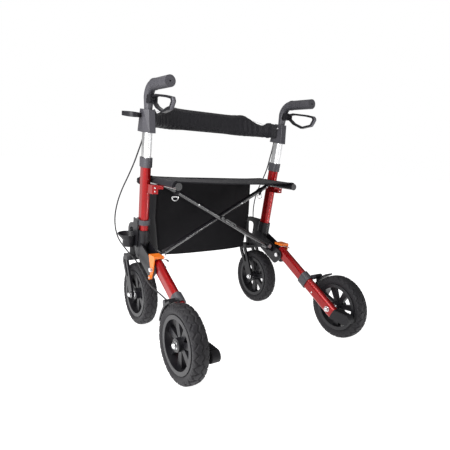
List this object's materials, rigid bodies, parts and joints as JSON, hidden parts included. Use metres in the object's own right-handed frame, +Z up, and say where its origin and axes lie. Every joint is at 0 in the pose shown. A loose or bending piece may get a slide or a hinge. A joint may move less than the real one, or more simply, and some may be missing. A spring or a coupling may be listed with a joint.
{
  "type": "all terrain rollator",
  "caption": "Folding walking aid with large treaded wheels, red oval side tubes, height-adjustable handles with loop brake levers, fabric seat, padded backrest and bag.",
  "frame": {"origin": "on the floor at the middle of the wheels' footprint", "axes": "+X to the user's right, +Y in the direction of travel, +Z up"},
  "size_m": [0.724, 0.66, 0.8696],
  "materials": {
    "red_paint": "gloss",
    "silver_tube": "polished",
    "grey_plastic": "satin",
    "bar_plastic": "satin",
    "black_plastic": "satin",
    "black_metal": "satin",
    "grip_rubber": "matte",
    "black_rubber": "matte",
    "orange_plastic": "gloss",
    "steel": "satin",
    "rim_plastic": "satin",
    "tyre": "matte",
    "cable": "satin",
    "seat_fabric": "woven",
    "backrest_fabric": "woven",
    "bag_fabric": "woven"
  },
  "bodies": {
    "left_frame": {"left_upright": "red_paint", "left_collar": "grey_plastic", "left_bracket": "black_plastic", "left_bracket_bolts": "steel", "cane_cup": "black_plastic", "cane_band": "grey_plastic"},
    "left_handle": {"left_handle_tube": "silver_tube", "left_handle_block": "grey_plastic", "left_handle_bar": "bar_plastic", "left_grip": "grip_rubber", "left_lever_housing": "black_plastic", "left_brake_cable": "cable", "cane_loop": "black_plastic", "backrest": "backrest_fabric"},
    "left_lever": {"left_brake_lever": "black_plastic"},
    "left_knob": {"left_height_knob": "black_plastic"},
    "left_leg_assembly": {"left_leg": "red_paint", "left_leg_collar": "grey_plastic", "left_curb_pedal": "black_rubber", "left_rear_axle": "steel"},
    "left_shoe": {"left_brake_shoe": "black_plastic"},
    "left_leg_latch": {"left_latch": "orange_plastic"},
    "left_rear_wheel": {"left_rear_tyre": "tyre", "left_rear_rim": "rim_plastic"},
    "left_caster": {"left_fork": "black_plastic", "left_front_axle": "steel"},
    "left_front_wheel": {"left_front_tyre": "tyre", "left_front_rim": "rim_plastic"},
    "right_frame": {"right_upright": "red_paint", "right_collar": "grey_plastic", "right_bracket": "black_plastic", "right_bracket_bolts": "steel"},
    "right_handle": {"right_handle_tube": "silver_tube", "right_handle_block": "grey_plastic", "right_handle_bar": "bar_plastic", "right_grip": "grip_rubber", "right_lever_housing": "black_plastic", "right_brake_cable": "cable"},
    "right_lever": {"right_brake_lever": "black_plastic"},
    "right_knob": {"right_height_knob": "black_plastic"},
    "right_leg_assembly": {"right_leg": "red_paint", "right_leg_collar": "grey_plastic", "right_curb_pedal": "black_rubber", "right_rear_axle": "steel"},
    "right_shoe": {"right_brake_shoe": "black_plastic"},
    "right_leg_latch": {"right_latch": "orange_plastic"},
    "right_rear_wheel": {"right_rear_tyre": "tyre", "right_rear_rim": "rim_plastic"},
    "right_caster": {"right_fork": "black_plastic", "right_front_axle": "steel"},
    "right_front_wheel": {"right_front_tyre": "tyre", "right_front_rim": "rim_plastic"},
    "brace_a_arm": {"brace_a": "black_metal", "right_seat_rail": "black_metal", "cross_bolt": "black_metal"},
    "brace_b_arm": {"brace_b": "black_metal", "left_seat_rail": "black_metal"},
    "seat": {"seat_sling": "seat_fabric", "bag": "bag_fabric"}
  },
  "joints": [
    {"name": "fold", "type": "hinge", "parent": "left_frame", "child": "brace_a_arm", "pos_m": [-0.2385, 0.1355, 0.28], "axis": [0, -1, 0], "range_deg": [0, 45], "deforming": ["seat_sling", "bag", "backrest"]},
    {"name": "fold_cross", "type": "hinge", "parent": "brace_a_arm", "child": "brace_b_arm", "pos_m": [0, 0.126, 0.40499], "axis": [0, -1, 0], "range_deg": [-90.01, 0]},
    {"name": "fold_right", "type": "hinge", "parent": "brace_b_arm", "child": "right_frame", "pos_m": [0.2385, 0.1165, 0.28], "axis": [0, -1, 0], "range_deg": [0, 45.01]},
    {"name": "fold_seat", "type": "hinge", "parent": "brace_b_arm", "child": "seat", "pos_m": [-0.25, 0.107, 0.536], "axis": [0, -1, 0], "range_deg": [0, 45.01]},
    {"name": "left_height", "type": "slide", "parent": "left_frame", "child": "left_handle", "axis": [-0.0279, -0.0993, 0.9947], "range_m": [-0.08, 0.04], "deforming": ["left_brake_cable"]},
    {"name": "left_knob_turn", "type": "hinge", "parent": "left_frame", "child": "left_knob", "pos_m": [-0.28738, 0.17375, 0.531], "axis": [0, 0.9951, 0.0993], "continuous": true},
    {"name": "left_brake", "type": "hinge", "parent": "left_handle", "child": "left_lever", "pos_m": [-0.29513, 0.1132, 0.807], "axis": [-1, 0, 0], "range_deg": [0, 11], "stiffness_Nm_per_rad": 2, "springref_deg": -5.73},
    {"name": "left_leg_fold", "type": "hinge", "parent": "left_frame", "child": "left_leg_assembly", "pos_m": [-0.279, 0.066, 0.25], "axis": [1, 0, 0], "range_deg": [0, 60], "deforming": ["left_brake_cable"]},
    {"name": "left_shoe_press", "type": "hinge", "parent": "left_leg_assembly", "child": "left_shoe", "pos_m": [-0.319, -0.1062, 0.1999], "axis": [-1, 0, 0], "range_deg": [0, 3]},
    {"name": "left_latch_lift", "type": "hinge", "parent": "left_leg_assembly", "child": "left_leg_latch", "pos_m": [-0.279, 0.066, 0.25], "axis": [1, 0, 0], "range_deg": [0, 30], "stiffness_Nm_per_rad": 0.6, "springref_deg": -17.19},
    {"name": "left_rear_spin", "type": "hinge", "parent": "left_leg_assembly", "child": "left_rear_wheel", "pos_m": [-0.33, -0.215, 0.115], "axis": [1, 0, 0], "continuous": true},
    {"name": "left_swivel", "type": "hinge", "parent": "left_frame", "child": "left_caster", "pos_m": [-0.277, 0.273, 0.26], "axis": [0, 0, 1], "continuous": true},
    {"name": "left_front_spin", "type": "hinge", "parent": "left_caster", "child": "left_front_wheel", "pos_m": [-0.277, 0.215, 0.115], "axis": [1, 0, 0], "continuous": true},
    {"name": "right_height", "type": "slide", "parent": "right_frame", "child": "right_handle", "axis": [0.0279, -0.0993, 0.9947], "range_m": [-0.08, 0.04], "deforming": ["right_brake_cable"]},
    {"name": "right_knob_turn", "type": "hinge", "parent": "right_frame", "child": "right_knob", "pos_m": [0.28738, 0.17375, 0.531], "axis": [0, 0.9951, 0.0993], "continuous": true},
    {"name": "right_brake", "type": "hinge", "parent": "right_handle", "child": "right_lever", "pos_m": [0.29513, 0.1132, 0.807], "axis": [-1, 0, 0], "range_deg": [0, 11], "stiffness_Nm_per_rad": 2, "springref_deg": -5.73},
    {"name": "right_leg_fold", "type": "hinge", "parent": "right_frame", "child": "right_leg_assembly", "pos_m": [0.279, 0.066, 0.25], "axis": [1, 0, 0], "range_deg": [0, 60], "deforming": ["right_brake_cable"]},
    {"name": "right_shoe_press", "type": "hinge", "parent": "right_leg_assembly", "child": "right_shoe", "pos_m": [0.319, -0.1062, 0.1999], "axis": [-1, 0, 0], "range_deg": [0, 3]},
    {"name": "right_latch_lift", "type": "hinge", "parent": "right_leg_assembly", "child": "right_leg_latch", "pos_m": [0.279, 0.066, 0.25], "axis": [1, 0, 0], "range_deg": [0, 30], "stiffness_Nm_per_rad": 0.6, "springref_deg": -17.19},
    {"name": "right_rear_spin", "type": "hinge", "parent": "right_leg_assembly", "child": "right_rear_wheel", "pos_m": [0.33, -0.215, 0.115], "axis": [1, 0, 0], "continuous": true},
    {"name": "right_swivel", "type": "hinge", "parent": "right_frame", "child": "right_caster", "pos_m": [0.277, 0.273, 0.26], "axis": [0, 0, 1], "continuous": true},
    {"name": "right_front_spin", "type": "hinge", "parent": "right_caster", "child": "right_front_wheel", "pos_m": [0.277, 0.215, 0.115], "axis": [1, 0, 0], "continuous": true}
  ],
  "couplings": [
    {"joint": "fold_cross", "follows": "fold", "ratio": -2},
    {"joint": "fold_right", "follows": "fold", "ratio": 1},
    {"joint": "fold_seat", "follows": "fold", "ratio": 1},
    {"joint": "left_shoe_press", "follows": "left_brake", "ratio": 0.2725},
    {"joint": "right_shoe_press", "follows": "right_brake", "ratio": 0.2725},
    {"joint": "right_height", "follows": "left_height", "ratio": 1}
  ]
}
